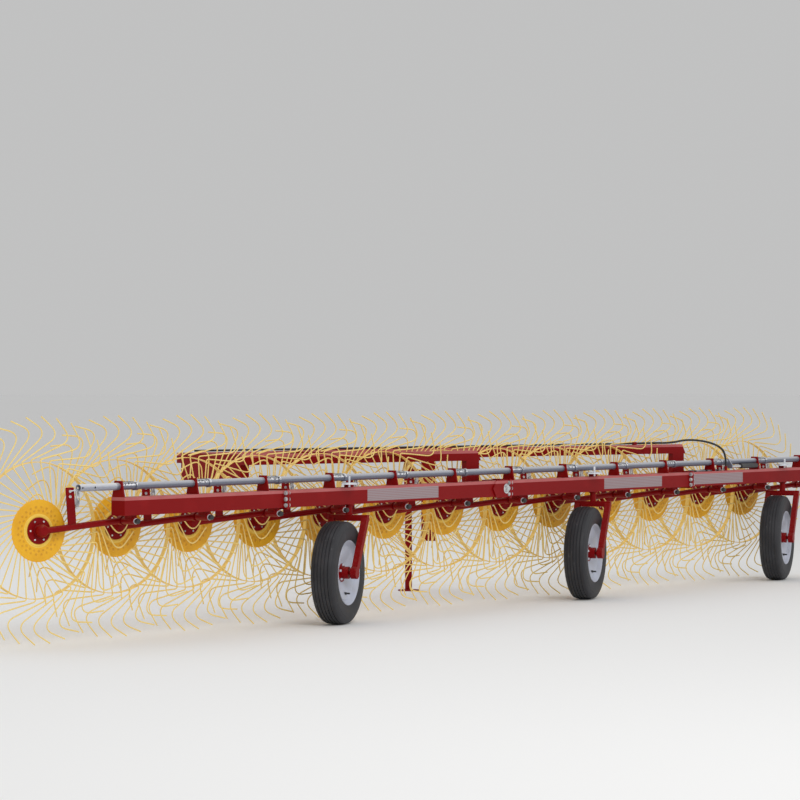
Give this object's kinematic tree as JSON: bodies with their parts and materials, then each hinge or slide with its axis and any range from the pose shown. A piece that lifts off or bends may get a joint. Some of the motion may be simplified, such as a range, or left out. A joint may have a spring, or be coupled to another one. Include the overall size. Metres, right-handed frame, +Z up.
{
  "type": "trailed wheel rake",
  "caption": "Trailed single-row wheel rake: a beam on swivelling ground wheels carries staggered tined finger wheels on lifting arms, with a draft frame, drawbar and jack.",
  "frame": {"origin": "on the ground below the middle of the whole machine's box", "axes": "+X along the main beam to its leading end, +Y forward across it to the drawbar, +Z up"},
  "size_m": [10.9824, 2.1025, 1.5649],
  "materials": {
    "frame_red": "gloss dark red paint",
    "wheel_yellow": "golden yellow paint",
    "zinc_steel": "zinc coated, satin",
    "chrome_rod": "polished",
    "black_paint": "black paint",
    "hose_rubber": "matt black hose",
    "tyre_rubber": "dark rubber",
    "rim_paint": "light grey paint"
  },
  "bodies": {
    "frame": {"main_beam_1": "frame_red", "main_beam_2": "frame_red", "main_beam_3": "frame_red", "main_beam_4": "frame_red", "lift_barrel": "black_paint", "draft_beam_rear": "frame_red", "draft_beam_front": "frame_red", "cross_corner": "frame_red", "cross_middle": "frame_red", "tongue_left": "frame_red", "tongue_right": "frame_red", "hitch_post": "frame_red", "lift_hose": "hose_rubber"},
    "lift_bar": {"lift_bar": "zinc_steel", "lift_rod": "chrome_rod"},
    "jack": {"jack_leg": "frame_red"},
    "arm_01": {"wheel_arm_01": "frame_red"},
    "wheel_01": {"rake_wheel_01": "wheel_yellow"},
    "arm_02": {"wheel_arm_02": "frame_red"},
    "wheel_02": {"rake_wheel_02": "wheel_yellow"},
    "arm_03": {"wheel_arm_03": "frame_red"},
    "wheel_03": {"rake_wheel_03": "wheel_yellow"},
    "arm_04": {"wheel_arm_04": "frame_red"},
    "wheel_04": {"rake_wheel_04": "wheel_yellow"},
    "arm_05": {"wheel_arm_05": "frame_red"},
    "wheel_05": {"rake_wheel_05": "wheel_yellow"},
    "arm_06": {"wheel_arm_06": "frame_red"},
    "wheel_06": {"rake_wheel_06": "wheel_yellow"},
    "arm_07": {"wheel_arm_07": "frame_red"},
    "wheel_07": {"rake_wheel_07": "wheel_yellow"},
    "arm_08": {"wheel_arm_08": "frame_red"},
    "wheel_08": {"rake_wheel_08": "wheel_yellow"},
    "arm_09": {"wheel_arm_09": "frame_red"},
    "wheel_09": {"rake_wheel_09": "wheel_yellow"},
    "arm_10": {"wheel_arm_10": "frame_red"},
    "wheel_10": {"rake_wheel_10": "wheel_yellow"},
    "arm_11": {"wheel_arm_11": "frame_red"},
    "wheel_11": {"rake_wheel_11": "wheel_yellow"},
    "arm_12": {"wheel_arm_12": "frame_red"},
    "wheel_12": {"rake_wheel_12": "wheel_yellow"},
    "arm_13": {"wheel_arm_13": "frame_red"},
    "wheel_13": {"rake_wheel_13": "wheel_yellow"},
    "fork_1": {"fork_1": "frame_red", "steer_lever_1": "zinc_steel"},
    "ground_wheel_1": {"tyre_1": "tyre_rubber", "rim_1": "rim_paint"},
    "fork_2": {"fork_2": "frame_red", "steer_lever_2": "zinc_steel"},
    "ground_wheel_2": {"tyre_2": "tyre_rubber", "rim_2": "rim_paint"},
    "fork_3": {"fork_3": "frame_red", "steer_lever_3": "zinc_steel"},
    "ground_wheel_3": {"tyre_3": "tyre_rubber", "rim_3": "rim_paint"}
  },
  "joints": [
    {"name": "lift", "type": "slide", "parent": "frame", "child": "lift_bar", "axis": [1, 0, 0], "range_m": [0, 0.113]},
    {"name": "arm_01_lift", "type": "hinge", "parent": "frame", "child": "arm_01", "pos_m": [-4.15246, -0.65364, 0.84], "axis": [0.2689, 0.9632, 0], "range_deg": [0, 28]},
    {"name": "wheel_01_spin", "type": "hinge", "parent": "arm_01", "child": "wheel_01", "pos_m": [-4.7364, -0.40235, 0.785], "axis": [0.2689, 0.9632, 0], "continuous": true},
    {"name": "arm_02_lift", "type": "hinge", "parent": "frame", "child": "arm_02", "pos_m": [-3.36246, -0.65364, 0.84], "axis": [0.2689, 0.9632, 0], "range_deg": [0, 28]},
    {"name": "wheel_02_spin", "type": "hinge", "parent": "arm_02", "child": "wheel_02", "pos_m": [-3.9464, -0.40235, 0.785], "axis": [0.2689, 0.9632, 0], "continuous": true},
    {"name": "arm_03_lift", "type": "hinge", "parent": "frame", "child": "arm_03", "pos_m": [-2.57246, -0.65364, 0.84], "axis": [0.2689, 0.9632, 0], "range_deg": [0, 28]},
    {"name": "wheel_03_spin", "type": "hinge", "parent": "arm_03", "child": "wheel_03", "pos_m": [-3.1564, -0.40235, 0.785], "axis": [0.2689, 0.9632, 0], "continuous": true},
    {"name": "arm_04_lift", "type": "hinge", "parent": "frame", "child": "arm_04", "pos_m": [-1.78246, -0.65364, 0.84], "axis": [0.2689, 0.9632, 0], "range_deg": [0, 28]},
    {"name": "wheel_04_spin", "type": "hinge", "parent": "arm_04", "child": "wheel_04", "pos_m": [-2.3664, -0.40235, 0.785], "axis": [0.2689, 0.9632, 0], "continuous": true},
    {"name": "arm_05_lift", "type": "hinge", "parent": "frame", "child": "arm_05", "pos_m": [-0.99246, -0.65364, 0.84], "axis": [0.2689, 0.9632, 0], "range_deg": [0, 28]},
    {"name": "wheel_05_spin", "type": "hinge", "parent": "arm_05", "child": "wheel_05", "pos_m": [-1.5764, -0.40235, 0.785], "axis": [0.2689, 0.9632, 0], "continuous": true},
    {"name": "arm_06_lift", "type": "hinge", "parent": "frame", "child": "arm_06", "pos_m": [-0.20246, -0.65364, 0.84], "axis": [0.2689, 0.9632, 0], "range_deg": [0, 28]},
    {"name": "wheel_06_spin", "type": "hinge", "parent": "arm_06", "child": "wheel_06", "pos_m": [-0.7864, -0.40235, 0.785], "axis": [0.2689, 0.9632, 0], "continuous": true},
    {"name": "arm_07_lift", "type": "hinge", "parent": "frame", "child": "arm_07", "pos_m": [0.58754, -0.65364, 0.84], "axis": [0.2689, 0.9632, 0], "range_deg": [0, 28]},
    {"name": "wheel_07_spin", "type": "hinge", "parent": "arm_07", "child": "wheel_07", "pos_m": [0.0036, -0.40235, 0.785], "axis": [0.2689, 0.9632, 0], "continuous": true},
    {"name": "arm_08_lift", "type": "hinge", "parent": "frame", "child": "arm_08", "pos_m": [1.37754, -0.65364, 0.84], "axis": [0.2689, 0.9632, 0], "range_deg": [0, 28]},
    {"name": "wheel_08_spin", "type": "hinge", "parent": "arm_08", "child": "wheel_08", "pos_m": [0.7936, -0.40235, 0.785], "axis": [0.2689, 0.9632, 0], "continuous": true},
    {"name": "arm_09_lift", "type": "hinge", "parent": "frame", "child": "arm_09", "pos_m": [2.16754, -0.65364, 0.84], "axis": [0.2689, 0.9632, 0], "range_deg": [0, 28]},
    {"name": "wheel_09_spin", "type": "hinge", "parent": "arm_09", "child": "wheel_09", "pos_m": [1.5836, -0.40235, 0.785], "axis": [0.2689, 0.9632, 0], "continuous": true},
    {"name": "arm_10_lift", "type": "hinge", "parent": "frame", "child": "arm_10", "pos_m": [2.95754, -0.65364, 0.84], "axis": [0.2689, 0.9632, 0], "range_deg": [0, 28]},
    {"name": "wheel_10_spin", "type": "hinge", "parent": "arm_10", "child": "wheel_10", "pos_m": [2.3736, -0.40235, 0.785], "axis": [0.2689, 0.9632, 0], "continuous": true},
    {"name": "arm_11_lift", "type": "hinge", "parent": "frame", "child": "arm_11", "pos_m": [3.74754, -0.65364, 0.84], "axis": [0.2689, 0.9632, 0], "range_deg": [0, 28]},
    {"name": "wheel_11_spin", "type": "hinge", "parent": "arm_11", "child": "wheel_11", "pos_m": [3.1636, -0.40235, 0.785], "axis": [0.2689, 0.9632, 0], "continuous": true},
    {"name": "arm_12_lift", "type": "hinge", "parent": "frame", "child": "arm_12", "pos_m": [4.53754, -0.65364, 0.84], "axis": [0.2689, 0.9632, 0], "range_deg": [0, 28]},
    {"name": "wheel_12_spin", "type": "hinge", "parent": "arm_12", "child": "wheel_12", "pos_m": [3.9536, -0.40235, 0.785], "axis": [0.2689, 0.9632, 0], "continuous": true},
    {"name": "arm_13_lift", "type": "hinge", "parent": "frame", "child": "arm_13", "pos_m": [5.32754, -0.65364, 0.84], "axis": [0.2689, 0.9632, 0], "range_deg": [0, 28]},
    {"name": "wheel_13_spin", "type": "hinge", "parent": "arm_13", "child": "wheel_13", "pos_m": [4.7436, -0.40235, 0.785], "axis": [0.2689, 0.9632, 0], "continuous": true},
    {"name": "swivel_1", "type": "hinge", "parent": "frame", "child": "fork_1", "pos_m": [-1.7264, -0.78635, 0.8], "axis": [0, 0, 1], "range_deg": [-17.6, 12]},
    {"name": "roll_1", "type": "hinge", "parent": "fork_1", "child": "ground_wheel_1", "pos_m": [-1.95993, -0.86043, 0.382], "axis": [-0.3024, 0.9532, 0], "continuous": true},
    {"name": "swivel_2", "type": "hinge", "parent": "frame", "child": "fork_2", "pos_m": [1.6486, -0.78635, 0.8], "axis": [0, 0, 1], "range_deg": [-17.6, 12]},
    {"name": "roll_2", "type": "hinge", "parent": "fork_2", "child": "ground_wheel_2", "pos_m": [1.41507, -0.86043, 0.382], "axis": [-0.3024, 0.9532, 0], "continuous": true},
    {"name": "swivel_3", "type": "hinge", "parent": "frame", "child": "fork_3", "pos_m": [4.8536, -0.78635, 0.8], "axis": [0, 0, 1], "range_deg": [-17.6, 12]},
    {"name": "roll_3", "type": "hinge", "parent": "fork_3", "child": "ground_wheel_3", "pos_m": [4.62007, -0.86043, 0.382], "axis": [-0.3024, 0.9532, 0], "continuous": true},
    {"name": "jack_slide", "type": "slide", "parent": "frame", "child": "jack", "axis": [0, 0, 1], "range_m": [0, 0.45]}
  ],
  "couplings": [
    {"joint": "arm_01_lift", "follows": "lift", "rad_per_m": 4.32},
    {"joint": "arm_02_lift", "follows": "lift", "rad_per_m": 4.32},
    {"joint": "arm_03_lift", "follows": "lift", "rad_per_m": 4.32},
    {"joint": "arm_04_lift", "follows": "lift", "rad_per_m": 4.32},
    {"joint": "arm_05_lift", "follows": "lift", "rad_per_m": 4.32},
    {"joint": "arm_06_lift", "follows": "lift", "rad_per_m": 4.32},
    {"joint": "arm_07_lift", "follows": "lift", "rad_per_m": 4.32},
    {"joint": "arm_08_lift", "follows": "lift", "rad_per_m": 4.32},
    {"joint": "arm_09_lift", "follows": "lift", "rad_per_m": 4.32},
    {"joint": "arm_10_lift", "follows": "lift", "rad_per_m": 4.32},
    {"joint": "arm_11_lift", "follows": "lift", "rad_per_m": 4.32},
    {"joint": "arm_12_lift", "follows": "lift", "rad_per_m": 4.32},
    {"joint": "arm_13_lift", "follows": "lift", "rad_per_m": 4.32}
  ]
}
